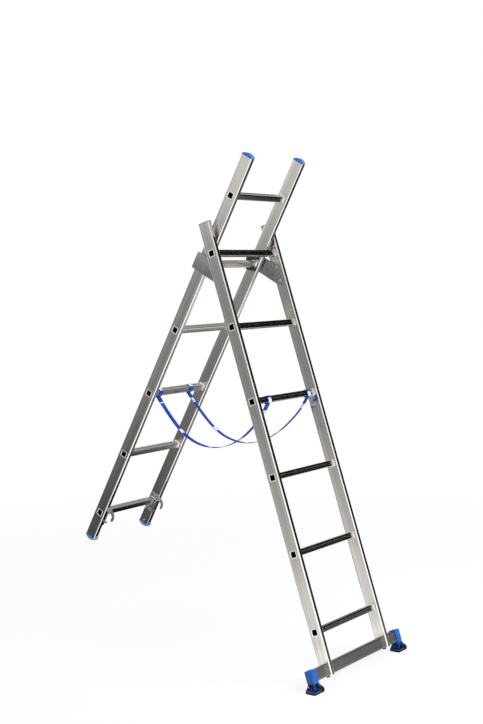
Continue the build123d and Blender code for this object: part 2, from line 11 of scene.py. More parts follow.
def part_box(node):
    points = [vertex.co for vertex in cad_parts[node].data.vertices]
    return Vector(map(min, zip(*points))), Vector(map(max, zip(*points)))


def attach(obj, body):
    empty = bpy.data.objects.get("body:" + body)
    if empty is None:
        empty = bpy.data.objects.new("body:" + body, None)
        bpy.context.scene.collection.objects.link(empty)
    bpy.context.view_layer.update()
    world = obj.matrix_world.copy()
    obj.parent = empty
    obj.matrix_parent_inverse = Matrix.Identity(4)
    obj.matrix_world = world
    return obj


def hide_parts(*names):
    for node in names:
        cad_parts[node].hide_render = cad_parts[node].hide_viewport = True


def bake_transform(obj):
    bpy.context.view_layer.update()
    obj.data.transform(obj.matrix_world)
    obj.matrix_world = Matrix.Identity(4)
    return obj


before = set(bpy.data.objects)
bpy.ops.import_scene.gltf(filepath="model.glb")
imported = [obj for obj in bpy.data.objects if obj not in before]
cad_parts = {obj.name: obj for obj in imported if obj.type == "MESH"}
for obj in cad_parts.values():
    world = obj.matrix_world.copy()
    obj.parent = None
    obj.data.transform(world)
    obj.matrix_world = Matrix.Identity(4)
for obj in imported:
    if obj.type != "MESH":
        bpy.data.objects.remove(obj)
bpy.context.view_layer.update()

bl_info = {
    "name": "Combination ladder",
    "version": (1, 0, 0),
    "blender": (4, 5, 0),
    "location": "3D View > Sidebar > Ladder",
    "description": "Finishes, straps, rungs and fasteners of a two-section combination ladder",
    "category": "Object",
}

MM = 0.001
TOUCH = 0.001 * MM  # places nearer than this are the same
UP = Vector((0, 0, 1))
SIDES = ("left", "right")
SECTIONS = ("front", "rear")
RUNG_COUNT = 6
SEAM = 34 * MM  # the length of a strap's end that its loop is sewn to
HOLLOW_TOP = 34 * MM  # a boot's hollows and its painted shade near the floor end at this height


def middle(node):
    """The centre of a node's box."""
    low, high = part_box(node)
    return (low + high) / 2


def section_turn(section):
    """The turn of a section: its rungs along X, its stiles along Z."""
    up = (middle(f"{section}_rung_{RUNG_COUNT}") - middle(f"{section}_rung_1")).normalized()
    return Matrix(((1, 0, 0), (0, up.z, up.y), (0, -up.y, up.z))).to_4x4()


TURN = {section: section_turn(section) for section in SECTIONS}
HALF_WIDTH = {section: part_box(f"{section}_right_stile")[1].x for section in SECTIONS}
STILE_WIDTH = HALF_WIDTH["front"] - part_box("front_right_stile")[0].x


# Settings


COLOUR = {"subtype": "COLOR", "size": 4, "min": 0, "max": 1}


class LadderMetals(PropertyGroup):
    aluminium: FloatVectorProperty(
        name="Aluminium", description="Colour of the drawn stiles and rungs",
        default=(0.655, 0.635, 0.6, 1), **COLOUR)
    aluminium_roughness: FloatProperty(
        name="Aluminium roughness", description="Roughness between the drawing lines",
        subtype="FACTOR", min=0, max=1, default=0.16)
    # the bar's colour is darkened as painted shade
    bar_painted_shade: FloatVectorProperty(
        name="Bar with painted shade", description="Colour of the stabiliser bar, darkened as painted shade",
        default=(0.285, 0.276, 0.26, 1), **COLOUR)
    galvanised: FloatVectorProperty(
        name="Galvanised steel", description="Colour of the brackets",
        default=(0.36, 0.365, 0.37, 1), **COLOUR)
    blackened: FloatVectorProperty(
        name="Blackened steel", description="Colour of the jaws and the bar's bolts",
        default=(0.07, 0.073, 0.078, 1), **COLOUR)
    zinc: FloatVectorProperty(
        name="Zinc plate", description="Colour of the hooks, catches and rivets",
        default=(0.55, 0.55, 0.55, 1), **COLOUR)


class LadderMouldings(PropertyGroup):
    plastic: FloatVectorProperty(
        name="Plastic", description="Colour of the boots", default=(0.012, 0.105, 0.43, 1), **COLOUR)
    cap: FloatVectorProperty(
        name="Caps", description="Colour of the top caps and plugs", default=(0.045, 0.16, 0.52, 1), **COLOUR)
    foot: FloatVectorProperty(
        name="Feet", description="Colour of the rear feet", default=(0.13, 0.27, 0.8, 1), **COLOUR)
    rubber: FloatVectorProperty(
        name="Rubber", description="Colour of the treads", default=(0.008, 0.008, 0.009, 1), **COLOUR)
    edge: FloatProperty(
        name="Edge", description="Width of the softened edges of plastic and steel",
        unit="LENGTH", min=0.0001, max=0.003, default=0.7 * MM)


class LadderRungs(PropertyGroup):
    side: FloatProperty(
        name="Side", description="Width of a rung over its flat sides",
        unit="LENGTH", min=0.015, max=0.04, default=23 * MM)
    corner: FloatProperty(
        name="Corner", description="Size of a rung's rounded corners",
        unit="LENGTH", min=0.0005, max=0.006, default=2.6 * MM)
    flute: FloatProperty(
        name="Flute", description="Depth of the flute along each side",
        unit="LENGTH", min=0.0002, max=0.002, default=0.8 * MM)
    bead: FloatProperty(
        name="Bead", description="Height of the swaged bead at a stile",
        unit="LENGTH", min=0.0005, max=0.005, default=2.4 * MM)


class LadderWebbing(PropertyGroup):
    width: FloatProperty(
        name="Width", description="Width of the straps", unit="LENGTH", min=0.01, max=0.06, default=22 * MM)
    thickness: FloatProperty(
        name="Thickness", description="Thickness of the straps",
        unit="LENGTH", min=0.0005, max=0.004, default=1.6 * MM)
    colour: FloatVectorProperty(
        name="Webbing", description="Colour of the straps", default=(0.008, 0.055, 0.42, 1), **COLOUR)
    mark: FloatVectorProperty(
        name="Marks", description="Colour of the plain marks on the straps",
        default=(0.82, 0.85, 0.88, 1), **COLOUR)
    mark_pitch: FloatProperty(
        name="Mark pitch", description="Distance from one mark to the next",
        unit="LENGTH", min=0.02, max=0.5, default=150 * MM)


class LadderStage(PropertyGroup):
    floor: FloatVectorProperty(
        name="Floor", description="Colour of the floor", default=(0.9, 0.9, 0.9, 1), **COLOUR)
    sky: FloatProperty(
        name="Room light", description="Level of the room's even light",
        subtype="FACTOR", min=0, max=2, default=0.45)
    key: FloatProperty(
        name="Key lamp", description="Power of the large lamp at the front",
        unit="POWER", min=0, max=1000, default=180)
    lens: FloatProperty(
        name="Lens", description="Focal length of the camera", unit="CAMERA", min=10, max=300, default=62.608)


SETTINGS = {"ladder_metals": LadderMetals, "ladder_mouldings": LadderMouldings, "ladder_rungs": LadderRungs,
            "ladder_webbing": LadderWebbing, "ladder_stage": LadderStage}


# Material tools


class Value:
    """A node's output, which can be calculated with."""

    def __init__(self, socket):
        self.socket, self.tree = socket, socket.id_data

    def maths(self, operation, *others):
        return made(self.tree, "ShaderNodeMath", dict(enumerate((self, *others))), operation=operation)

    __add__ = partialmethod(maths, "ADD")
    __sub__ = partialmethod(maths, "SUBTRACT")
    __mul__ = partialmethod(maths, "MULTIPLY")
    __truediv__ = partialmethod(maths, "DIVIDE")
    __pow__ = partialmethod(maths, "POWER")
    __gt__ = partialmethod(maths, "GREATER_THAN")
    __lt__ = partialmethod(maths, "LESS_THAN")
    __abs__ = partialmethod(maths, "ABSOLUTE")

    def spread(self, low, high, to_low=0.0, to_high=1.0):
        """The value mapped from one range to another and kept inside it."""
        return made(self.tree, "ShaderNodeMapRange", {
            "Value": self, "From Min": low, "From Max": high, "To Min": to_low, "To Max": to_high})


def feed(node, inputs):
    """Give inputs numbers, colours or values; sockets of data types not in use are passed over."""
    for name, value in inputs.items():
        target = node.inputs[name] if isinstance(name, int) else next(
            s for s in node.inputs if s.name == name and s.enabled)
        if isinstance(value, Value):
            node.id_data.links.new(value.socket, target)
        else:
            target.default_value = value


def put(tree, kind, inputs=None, **options):
    """Add a node with its options and inputs, and give its outputs by name."""
    node = tree.nodes.new(kind)
    for name, value in options.items():
        setattr(node, name, value)
    feed(node, inputs or {})
    return {s.name: Value(s) for s in node.outputs if s.enabled}


def made(tree, kind, inputs=None, **options):
    """The first output of a new node."""
    return next(iter(put(tree, kind, inputs, **options).values()))


def tint(factor, first, second, mode="MIX"):
    """Two colours mixed."""
    tree = next(v.tree for v in (factor, second) if isinstance(v, Value))
    return made(tree, "ShaderNodeMix", {"Factor": factor, "A": first, "B": second},
                data_type="RGBA", blend_type=mode)


def shaded(colour, level):
    """A colour times a level."""
    grey = made(level.tree, "ShaderNodeCombineColor", dict.fromkeys(("Red", "Green", "Blue"), level))
    return tint(1.0, colour, grey, "MULTIPLY")


def noise(vector, scale, detail=2.0, rough=0.5):
    return made(vector.tree, "ShaderNodeTexNoise", {
        "Vector": vector, "Scale": scale, "Detail": detail, "Roughness": rough})


def stretched(vector, scale, rotation=(0, 0, 0)):
    return made(vector.tree, "ShaderNodeMapping", {"Vector": vector, "Scale": scale, "Rotation": rotation})


def parts(vector):
    """The X, Y and Z of a vector."""
    return list(put(vector.tree, "ShaderNodeSeparateXYZ", {"Vector": vector}).values())


def coords(tree):
    return put(tree, "ShaderNodeTexCoord")["Object"]


def effect(tree, name, inputs):
    """The outputs of a shared effect."""
    return put(tree, "ShaderNodeGroup", inputs, node_tree=bpy.data.node_groups[name])


def bump(bsdf, height, distance, strength=1.0):
    feed(bsdf, {"Normal": made(height.tree, "ShaderNodeBump", {
        "Height": height, "Distance": distance, "Strength": strength})})


WHITE = (1, 1, 1, 1)
DUST = (0.42, 0.41, 0.39, 1)
# painted shade: the dark blue that a boot's colour is darkened towards near the floor
FLOOR_SHADE_COLOUR = (0.002, 0.004, 0.02, 1)
THREAD = (0.1, 0.22, 0.66, 1)
# painted highlights: the near-white along a stile's corners and the light tone at a rung's ends
CORNER_HIGHLIGHT, BEAD_HIGHLIGHT = (0.97, 0.965, 0.95, 1), (0.9, 0.89, 0.87, 1)

SOCKET_KINDS = {"Vector": "NodeSocketVector", "Colour": "NodeSocketColor"}  # all others are floats
SURFACE = ("Colour", "Roughness", "Height")


def new_group(name, inputs, outputs=SURFACE):
    """An empty shader group with named sockets: what it is given, and its end node."""
    tree = bpy.data.node_groups.new(name, "ShaderNodeTree")
    for in_out, labels in (("INPUT", inputs), ("OUTPUT", outputs)):
        for label in labels:
            kind = SOCKET_KINDS.get(label, "NodeSocketFloat")
            socket = tree.interface.new_socket(label, in_out=in_out, socket_type=kind)
            if in_out == "INPUT" and kind == "NodeSocketFloat":
                socket.default_value = inputs[label]
    return put(tree, "NodeGroupInput"), tree.nodes.new("NodeGroupOutput")


def new_material(name):
    """A material, its node tree and its Principled BSDF."""
    if name in bpy.data.materials:
        raise RuntimeError(f"a finish called {name} exists")
    material = bpy.data.materials.new(name)
    material.use_nodes = True
    return material, material.node_tree, material.node_tree.nodes["Principled BSDF"]


# Effects that several finishes share


def drawn_lines_group():
    """Lines and wide streaks that drawing leaves along Z on a metal section, with a patchy oxide film."""
    given, result = new_group("drawn_lines", {"Vector": None, "Colour": None, "Roughness": 0.3})
    vector = given["Vector"]
    fine = noise(stretched(vector, (1100, 1100, 5)), 1.0)
    broad = noise(stretched(vector, (160, 160, 2.2)), 1.0)
    streaks = noise(stretched(vector, (75, 75, 0.9)), 1.0, 3.0, 0.55)
    film = noise(vector, 9.0, 4.0, 0.6)
    lines = fine * 0.55 + broad * 0.45
    shade = (lines * 0.7 + film * 0.3).spread(0.3, 0.7, 0.93, 1.04) * streaks.spread(0.36, 0.64, 0.84, 1.1)
    rough = given["Roughness"] + lines.spread(0.3, 0.7, -0.03, 0.05) + film.spread(0.35, 0.7, -0.02, 0.04)
    feed(result, {"Colour": shaded(given["Colour"], shade), "Roughness": rough, "Height": fine})


def spangle_group():
    """Zinc crystals on steel, each with its own tone, under a thin dull bloom."""
    given, result = new_group(
        "zinc_spangle", {"Vector": None, "Colour": None, "Roughness": 0.4, "Scale": 1 / (6 * MM)})
    vector = given["Vector"]
    cells = put(vector.tree, "ShaderNodeTexVoronoi", {"Vector": vector, "Scale": given["Scale"]})["Color"]
    tone = made(vector.tree, "ShaderNodeSeparateColor", {"Color": cells})
    bloom = noise(vector, 22.0, 5.0, 0.65)
    level = tone.spread(0, 1, 0.9, 1.06) + bloom.spread(0.35, 0.7, -0.06, 0.08)
    rough = given["Roughness"] + tone.spread(0, 1, -0.06, 0.08) + bloom.spread(0.35, 0.7, -0.03, 0.08)
    feed(result, {"Colour": shaded(given["Colour"], level), "Roughness": rough,
                  "Height": tone * 0.4 + noise(vector, 240.0)})


def moulded_group():
    """The fine matt grain and slight unevenness of a moulding, with dust in patches."""
    given, result = new_group(
        "moulded_grain", {"Vector": None, "Colour": None, "Roughness": 0.4, "Dust": 0.1})
    grain = noise(given["Vector"], 2200.0)
    cloud = noise(given["Vector"], 60.0, 4.0, 0.6)
    patches = cloud.spread(0.5, 0.75)
    skin = shaded(given["Colour"], cloud.spread(0.3, 0.7, 0.9, 1.08))
    dusty = tint(patches * given["Dust"], skin, DUST)
    rough = given["Roughness"] + patches * 0.15 + grain.spread(0.3, 0.7, -0.04, 0.04)
    feed(result, {"Colour": dusty, "Roughness": rough, "Height": grain})


def weave_group():
    """Plain weave: ribs along the webbing (X of the map), crossed by the weft; its Shade darkens the low
    places between the yarns as painted shade, with the yarn's own uneven tone.
    """
    given, result = new_group(
        "plain_weave", {"Vector": None, "Along": 2.1 * MM, "Across": 1.7 * MM}, ("Height", "Shade"))
    along, across, _ = parts(given["Vector"])
    turns = across / given["Across"]
    even = 100.0  # keeps the count above zero
    odd = (turns + even).maths("FLOOR").maths("MODULO", 2.0)
    picks = along / given["Along"] + odd * 0.5
    rib, weft = (abs((count * math.pi).maths("SINE")) ** 0.6 for count in (turns, picks))
    height = rib * weft
    fuzz = noise(given["Vector"], 900.0, 3.0)
    feed(result, {"Height": height,
                  "Shade": height.spread(0, 1, 0.62, 1.05) + fuzz.spread(0.3, 0.7, -0.08, 0.1)})


# Finishes


def worn(colour, gain):
    """The brighter colour of a worn edge."""
    return [min(1.0, gain * c) for c in colour[:3]] + [1]


def drawn_metal(name, rotation, colour, roughness, bead=None, stile=None):
    """Aluminium drawn along Z after the turn, with a painted highlight at a rung's swaged ends, near bead on
    X, or along the corners of a stile, whose middle is given on X and on the turned Y."""
    _, tree, bsdf = new_material(name)
    spot = coords(tree)
    turned = stretched(spot, (1, 1, 1), rotation)
    lines = effect(tree, "drawn_lines", {"Vector": turned, "Colour": colour, "Roughness": roughness})
    colour_out, rough_out = lines["Colour"], lines["Roughness"]
    highlights = []
    if stile:
        # painted highlight along the stile's corners
        across, deep, _ = parts(turned)
        corner = (abs(abs(across) - stile[0]).spread(5.8 * MM, 7.5 * MM)
                  * abs(deep - stile[1]).spread(20.8 * MM, 22.5 * MM))
        highlights.append((corner, CORNER_HIGHLIGHT, 0.05))
    # painted highlight at the rung's swaged ends
    if bead:
        end = abs(parts(spot)[0]).spread(bead - 7 * MM, bead - 5 * MM)
        highlights.append((end, BEAD_HIGHLIGHT, 0.04))
    for mask, bright, polish in highlights:
        colour_out = tint(mask, colour_out, bright)
        rough_out = rough_out - mask * polish
    feed(bsdf, {"Base Color": colour_out, "Roughness": rough_out, "Metallic": 1.0})
    if not bead:
        bump(bsdf, lines["Height"], 0.002 * MM, 0.4)


def plated_metal(name, colour, roughness, size):
    """Steel under a coat of zinc crystals."""
    _, tree, bsdf = new_material(name)
    zinc = effect(tree, "zinc_spangle", {
        "Vector": coords(tree), "Colour": colour, "Roughness": roughness, "Scale": 1 / size})
    feed(bsdf, {"Base Color": zinc["Colour"], "Roughness": zinc["Roughness"], "Metallic": 1.0})
    bump(bsdf, zinc["Height"], 0.012 * MM, 0.4)


def moulding(name, colour, grain, gloss, floor_shade=0.0, *, roughness, dust):
    """Moulded plastic or rubber, its colour darkened towards the floor as painted shade."""
    _, tree, bsdf = new_material(name)
    skin = effect(tree, "moulded_grain", {
        "Vector": coords(tree), "Colour": colour, "Roughness": roughness, "Dust": dust})
    colour_out = skin["Colour"]
    if floor_shade:
        # painted shade: darker towards the floor
        floor_shade_mask = parts(coords(tree))[2].spread(HOLLOW_TOP - 10 * MM, HOLLOW_TOP, floor_shade, 0.0)
        colour_out = tint(floor_shade_mask, colour_out, FLOOR_SHADE_COLOUR)
    feed(bsdf, {"Base Color": colour_out, "Roughness": skin["Roughness"], "Specular IOR Level": gloss})
    bump(bsdf, skin["Height"], grain)


def webbing_finish(name, webbing, first, pitch, last_seam):
    """Woven strap with plain marks, from the first at a pitch, and stitches along the edges of both seams.
    It reads the strap's own map, in metres."""
    _, tree, bsdf = new_material(name)
    uv = made(tree, "ShaderNodeUVMap", uv_map="webbing")
    weave = effect(tree, "plain_weave", {"Vector": uv})
    along, across, _ = parts(uv)
    across = abs(across)
    share = (along - first) / pitch
    away = abs(share - share.maths("ROUND")) * pitch
    patch = away.spread(10 * MM, 11 * MM, 1, 0) * across.spread(8 * MM, 8.6 * MM, 1, 0)
    patch = patch * weave["Height"].spread(0.05, 0.3)
    # the weave's Shade darkens the webbing between its yarns: painted shade
    cloth = tint(patch, shaded(webbing.colour, weave["Shade"]), webbing.mark)
    height = weave["Height"]
    stitch, row_at = 3.2 * MM, 8.5 * MM
    row = abs(across - row_at).spread(0.35 * MM, 0.6 * MM, 1, 0)
    dashes = row * ((along * (2 * math.pi / stitch)).maths("SINE") > -0.5)
    for low, high in ((0, SEAM), (last_seam, 1.0)):
        thread = (along > low) * (along < high) * dashes
        cloth = tint(thread, cloth, THREAD)
        height = height + thread * 1.4
    feed(bsdf, {"Base Color": cloth, "Roughness": 0.75, "Specular IOR Level": 0.15,
                "Sheen Weight": 0.04, "Sheen Roughness": 0.5})
    bump(bsdf, height, 0.35 * MM)


def glow(name, foot, head, top=0, bend=1):
    """A card whose tone goes from its foot to a place on its own X, evenly or with a bend."""
    material, tree, bsdf = new_material(name)
    tree.nodes.remove(bsdf)
    share = parts(coords(tree))[0].spread(top, 0.5, 1.0, 0.0) ** bend
    card = made(tree, "ShaderNodeEmission", {"Strength": share.spread(0.0, 1.0, foot, head)})
    feed(tree.nodes["Material Output"], {"Surface": card})
    return material


# Modelling tools


def edit_mode():
    bpy.ops.object.mode_set(mode="EDIT")


def object_mode():
    bpy.ops.object.mode_set(mode="OBJECT")


def start_alone():
    """Object mode with nothing selected."""
    if bpy.context.object and bpy.context.object.mode != "OBJECT":
        object_mode()
    bpy.ops.object.select_all(action="DESELECT")


def only(piece):
    start_alone()
    piece.select_set(True)
    bpy.context.view_layer.objects.active = piece


def begun():
    """The primitive just added, in edit mode and with its place in its mesh."""
    bpy.ops.object.transform_apply(location=True, rotation=True, scale=True)
    edit_mode()
    return bpy.context.object


def pick(piece, faces=None, edges=None):
    """Select just these faces or edges in edit mode."""
    bpy.ops.mesh.select_mode(type="FACE" if faces else "EDGE")
    bpy.ops.mesh.select_all(action="DESELECT")
    mesh = bmesh.from_edit_mesh(piece.data)
    wanted = [x for x in (mesh.faces if faces else mesh.edges) if (faces or edges)(x)]
    if not wanted:
        raise RuntimeError(f"nothing to select on {piece.name}")
    for x in wanted:
        x.select_set(True)
    mesh.select_flush_mode()
    bmesh.update_edit_mesh(piece.data)


def grow_end(steps, start):
    """Extrude the selected end face along X through (distance, half size) steps, from a half size."""
    at, size = start
    for distance, half in steps:
        bpy.ops.mesh.extrude_region_move(TRANSFORM_OT_translate={"value": (distance - at, 0, 0)})
        if abs(half - size) > TOUCH:
            bpy.ops.transform.resize(value=(1, half / size, half / size), center_override=(distance, 0, 0))
        at, size = distance, half


def edit_all(piece):
    """Edit mode with everything selected."""
    only(piece)
    edit_mode()
    bpy.ops.mesh.select_all(action="SELECT")


def face_out(piece):
    """Turn the faces of a closed mesh outwards."""
    edit_all(piece)
    bpy.ops.mesh.normals_make_consistent(inside=False)
    object_mode()


def settle(piece, name, turn=Matrix.Identity(4), spot=(0, 0, 0), angle=35):
    """Name a piece, put its place into its mesh and shade it."""
    only(piece)
    piece.name = name
    piece.data.name = name
    piece.matrix_world = Matrix.Translation(spot) @ turn
    bpy.ops.object.transform_apply(location=True, rotation=True, scale=True)
    bpy.ops.object.shade_smooth_by_angle(angle=math.radians(angle))
    return piece


def linked(name, data):
    """A new object in the scene."""
    piece = bpy.data.objects.new(name, data)
    bpy.context.scene.collection.objects.link(piece)
    return piece


def joined(pieces):
    """Several meshes as one piece."""
    only(pieces[0])
    for piece in pieces[1:]:
        piece.select_set(True)
    bpy.ops.object.join()
    return bpy.context.object


def paint(piece, *materials):
    piece.data.materials.clear()
    for material in materials:
        piece.data.materials.append(bpy.data.materials[material])


def ends(points):
    """The lowest and highest corners of the points' box."""
    return [[choose(p[i] for p in points) for i in range(3)] for choose in (min, max)]


def centre_of(low, high, axis):
    return (low[axis] + high[axis]) / 2


def heading(points, i):
    """The direction of a line of points at one of them."""
    return (points[min(i + 1, len(points) - 1)] - points[max(i - 1, 0)]).normalized()


# Pieces and stage, with their operators


# words in a node's name and its finish; the first row that fits counts
FINISHES = (
    ("rung_jaw", "blackened_steel"),
    ("hook catch rivets washers bolts", "zinc_plate"),
    ("bracket", "galvanised_sheet"),
    ("stile", "SECTION_stile_aluminium"),
    ("_rung_", "SECTION_rung_aluminium"),
    ("stabiliser_bar anchor", "bar_aluminium"),
    ("strap", "strap_webbing"),
    ("tread", "tread_rubber"),
    ("shoe", "boot_blue"),
    ("foot", "foot_blue"),
    ("cap plug", "cap_blue"),
)
# the worn edges of plated steel; a moulding's edge has its finish's name with _edge
WORN = {"galvanised_sheet": "galvanised_edge", "blackened_steel": "blackened_edge", "zinc_plate": "zinc_edge"}


def finish_of(node):
    finish = next(finish for words, finish in FINISHES if any(word in node for word in words.split()))
    return finish.replace("SECTION", node.split("_")[0])


class LADDER_OT_finishes(Operator):
    """Make the finishes and give every solid its own"""
    bl_idname = "ladder.finishes"
    bl_label = "Finishes"

    def execute(self, context):
        metals, mouldings = context.scene.ladder_metals, context.scene.ladder_mouldings
        webbing = context.scene.ladder_webbing
        for make in (drawn_lines_group, spangle_group, moulded_group, weave_group):
            make()
        along_x = (0, math.pi / 2, 0)
        smooth = metals.aluminium_roughness
        for section in SECTIONS:
            lean = TURN[section].to_euler().x
            level = (TURN[section].inverted().to_3x3() @ middle(f"{section}_rung_1")).y
            drawn_metal(f"{section}_stile_aluminium", (-lean, 0, 0), metals.aluminium, smooth,
                        stile=(HALF_WIDTH[section] - STILE_WIDTH / 2, level))
            drawn_metal(f"{section}_rung_aluminium", along_x, metals.aluminium, smooth - 0.04,
                        bead=HALF_WIDTH[section] - STILE_WIDTH)
        # painted shade: the bar's darker colour; its higher roughness is the bar's own duller finish
        drawn_metal("bar_aluminium", along_x, metals.bar_painted_shade, smooth + 0.23)
        for name, colour, gain, rough, crystal, small in (
                ("galvanised_sheet", metals.galvanised, 1.5, 0.42, 5 * MM, 3 * MM),
                ("blackened_steel", metals.blackened, 4.0, 0.34, 4 * MM, 3 * MM),
                ("zinc_plate", metals.zinc, 1.5, 0.3, 2 * MM, 2 * MM)):
            plated_metal(name, colour, rough, crystal)
            plated_metal(WORN[name], worn(colour, gain), rough - 0.06, small)
        grain, gloss = 0.01 * MM, 0.28
        # the boots' third number darkens their colour near the floor: painted shade
        for name, colour, floor_shade in (("boot_blue", mouldings.plastic, 0.5), ("cap_blue", mouldings.cap, 0.0),
                                    ("foot_blue", mouldings.foot, 0.0)):
            moulding(name, colour, grain, gloss, floor_shade, roughness=0.42, dust=0.03)
            moulding(f"{name}_edge", worn(colour, 1.35), grain, gloss, 0.7 * floor_shade, roughness=0.5, dust=0.05)
        grain, gloss = 0.08 * MM, 0.12
        moulding("tread_rubber", mouldings.rubber, grain, gloss, roughness=0.7, dust=0.04)
        moulding("tread_rubber_edge", worn(mouldings.rubber, 1.6), grain, gloss, roughness=0.78, dust=0.08)
        webbing_finish("strap_webbing", webbing, first=40 * MM, pitch=webbing.mark_pitch, last_seam=632 * MM)
        webbing_finish("loop_webbing", webbing, first=102 * MM, pitch=300 * MM, last_seam=128 * MM)
        for name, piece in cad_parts.items():
            paint(piece, finish_of(name))
        return {"FINISHED"}


FLUTE_WIDTH = 8.6 * MM
FLUTE_STOP = 10 * MM  # from the stile
# the bead in front of the stile: distance from it in mm, share of its height
BEAD_STEPS = ((6.0, 0), (5.2, 0.22), (4.4, 0.55), (3.5, 0.82), (2.4, 0.97), (1.2, 1.0), (0.1, 0.93), (0.1, 0))
# the rolled rim behind the stile: distance from it and height over the rung's side, in mm
RIM_STEPS = ((0.1, 0), (0.1, 2.4), (0.6, 2.35), (1.05, 2.0), (1.35, 1.4), (1.4, 0.7), (1.25, -0.1),
             (0.8, -0.8), (0.1, -1.3))


def rung_blank(sizes, half):
    """A rung along X with its axis at the origin."""
    side = sizes.side / 2
    inner = half - STILE_WIDTH
    rail = (sizes.side - 2 * sizes.corner - FLUTE_WIDTH) / 2
    body = inner - FLUTE_STOP + rail
    start_alone()
    bpy.ops.mesh.primitive_cube_add(size=1, location=(body / 2, 0, 0), scale=(body, 2 * side, 2 * side))
    rung = begun()
    pick(rung, edges=lambda e: abs((e.verts[0].co - e.verts[1].co).x) > body / 2)
    bpy.ops.mesh.bevel(offset=sizes.corner, segments=4, affect="EDGES")
    pick(rung, faces=lambda f: f.normal.x < -0.9)
    bpy.ops.mesh.delete(type="ONLY_FACE")
    pick(rung, faces=lambda f: max(abs(f.normal.y), abs(f.normal.z)) > 0.999
         and f.calc_area() > body * 5 * MM)
    rib = 0.45 * MM  # in the middle of the flute's floor
    for thickness, depth in ((rail, 0), (0.5 * MM, -sizes.flute), (1.1 * MM, 0), (0.3 * MM, rib),
                             (0.7 * MM, 0), (0.3 * MM, -rib)):
        bpy.ops.mesh.inset(thickness=thickness, depth=depth, use_boundary=False)
    pick(rung, faces=lambda f: f.normal.x > 0.9 and f.calc_center_median().x > body - TOUCH)
    bead = [(inner - away * MM, side + share * sizes.bead) for away, share in BEAD_STEPS]
    rim = [(half + away * MM, side + lift * MM) for away, lift in RIM_STEPS]
    grow_end(bead + rim + [(0, rim[-1][1])], (body, side))
    pick(rung, faces=lambda f: f.normal.x > 0.9 and abs(f.calc_center_median().x) < TOUCH)
    bpy.ops.mesh.delete(type="FACE")
    object_mode()
    mirror = rung.modifiers.new("other_end", "MIRROR")
    mirror.use_axis = (True, False, False)
    mirror.merge_threshold = 10 * TOUCH
    bpy.ops.object.modifier_apply(modifier=mirror.name)
    face_out(rung)
    return rung


class LADDER_OT_rungs(Operator):
    """Draw the fluted rungs with their swaged beads and rims"""
    bl_idname = "ladder.rungs"
    bl_label = "Rungs"

    def execute(self, context):
        sizes = context.scene.ladder_rungs
        for section in SECTIONS:
            blank = rung_blank(sizes, HALF_WIDTH[section])
            for number in range(1, RUNG_COUNT + 1):
                node = f"{section}_rung_{number}"
                spot = middle(node)
                rung = settle(linked(node, blank.data.copy()), f"{node}_tube", TURN[section],
                              (0, spot.y, spot.z))
                paint(rung, f"{section}_rung_aluminium")
                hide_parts(node)
                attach(rung, f"{section}_section")
            bpy.data.objects.remove(blank)
        return {"FINISHED"}


WORN_SLOT, HOLLOW_SHADE_SLOT = 1, 2  # material slots of the rolled edges and of a boot's hollows, which are painted black as painted shade


def rounded(node, width, finishes):
    """A copy of a solid with its sharp edges rolled over; a boot's hollows are painted with the black tread
    rubber as painted shade.
    """
    boot = "bar_shoe" in node
    piece = linked(f"{node}_soft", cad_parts[node].data.copy())
    paint(piece, *finishes)
    edit_all(piece)
    bpy.ops.mesh.remove_doubles(threshold=2 * TOUCH)
    bpy.ops.mesh.dissolve_limited(angle_limit=math.radians(0.5))
    bpy.ops.mesh.select_all(action="DESELECT")
    object_mode()
    if node == "right_tread":
        turn_end(piece)
    elif node == "right_bar_shoe":
        piece = turn_foot(piece)
    only(piece)
    edit_mode()
    mark(piece, boot)
    object_mode()
    roll = piece.modifiers.new("roll", "BEVEL")
    roll.width = width
    roll.segments = 3
    roll.limit_method = "WEIGHT"
    roll.material = WORN_SLOT
    bpy.ops.object.modifier_apply(modifier=roll.name)
    if boot:
        deepen(piece, steps=2)
    return settle(piece, f"{node}_soft", angle=40)


def turn_end(piece):
    """Turn a right-hand foot end for end: both feet are one moulding."""
    x = middle("right_tread").x
    flip = Matrix.Diagonal((-1, 1, 1, 1))
    piece.data.transform(Matrix.Translation((x, 0, 0)) @ flip @ Matrix.Translation((-x, 0, 0)))
    piece.data.flip_normals()


def turn_foot(piece):
    """Turn the foot of the right boot under its socket, cut just below it."""
    up = TURN["front"].to_3x3() @ UP
    under = min((f for f in piece.data.polygons if f.normal.dot(up) < -0.999), key=lambda f: f.center.dot(up))
    spot = under.center - up * (1.2 * MM)
    foot = linked(piece.name, piece.data.copy())
    for part, side in ((piece, "clear_inner"), (foot, "clear_outer")):
        edit_all(part)
        bpy.ops.mesh.bisect(plane_co=spot, plane_no=up, use_fill=True, **{side: True})
        object_mode()
    turn_end(foot)
    return joined([piece, foot])


def average(points):
    return sum((vertex.co for vertex in points), Vector()) / len(points)


def widen(mesh, share):
    """Widen the hollows between the ribs from left to right, each from its own middle and along its panel, so
    that more of the boot takes their painted shade.
    """
    left, hollows = {face for face in mesh.faces if face.material_index == HOLLOW_SHADE_SLOT}, []
    while left:
        hollow, edge = [], [left.pop()]
        while edge:
            hollow.append(edge.pop())
            near = {f for e in hollow[-1].edges for f in e.link_faces} & left
            left -= near
            edge += near
        hollows.append((hollow, {vertex for face in hollow for vertex in face.verts}))
    for hollow, points in sorted(hollows, key=lambda pair: average(pair[1]).x):
        heights = [vertex.co.z for vertex in points]
        low, high = min(heights), max(heights)
        if len(hollow) < 2 or high > HOLLOW_TOP - 2 * MM or high - low < 3 * MM:
            continue
        panels = [f for face in hollow for e in face.edges for f in e.link_faces
                  if f.material_index != HOLLOW_SHADE_SLOT]
        facing, centre = max(panels, key=lambda f: f.calc_area()).normal, average(points)
        for vertex in points:
            arm = vertex.co - centre
            vertex.co += share * (arm - facing * arm.dot(facing))


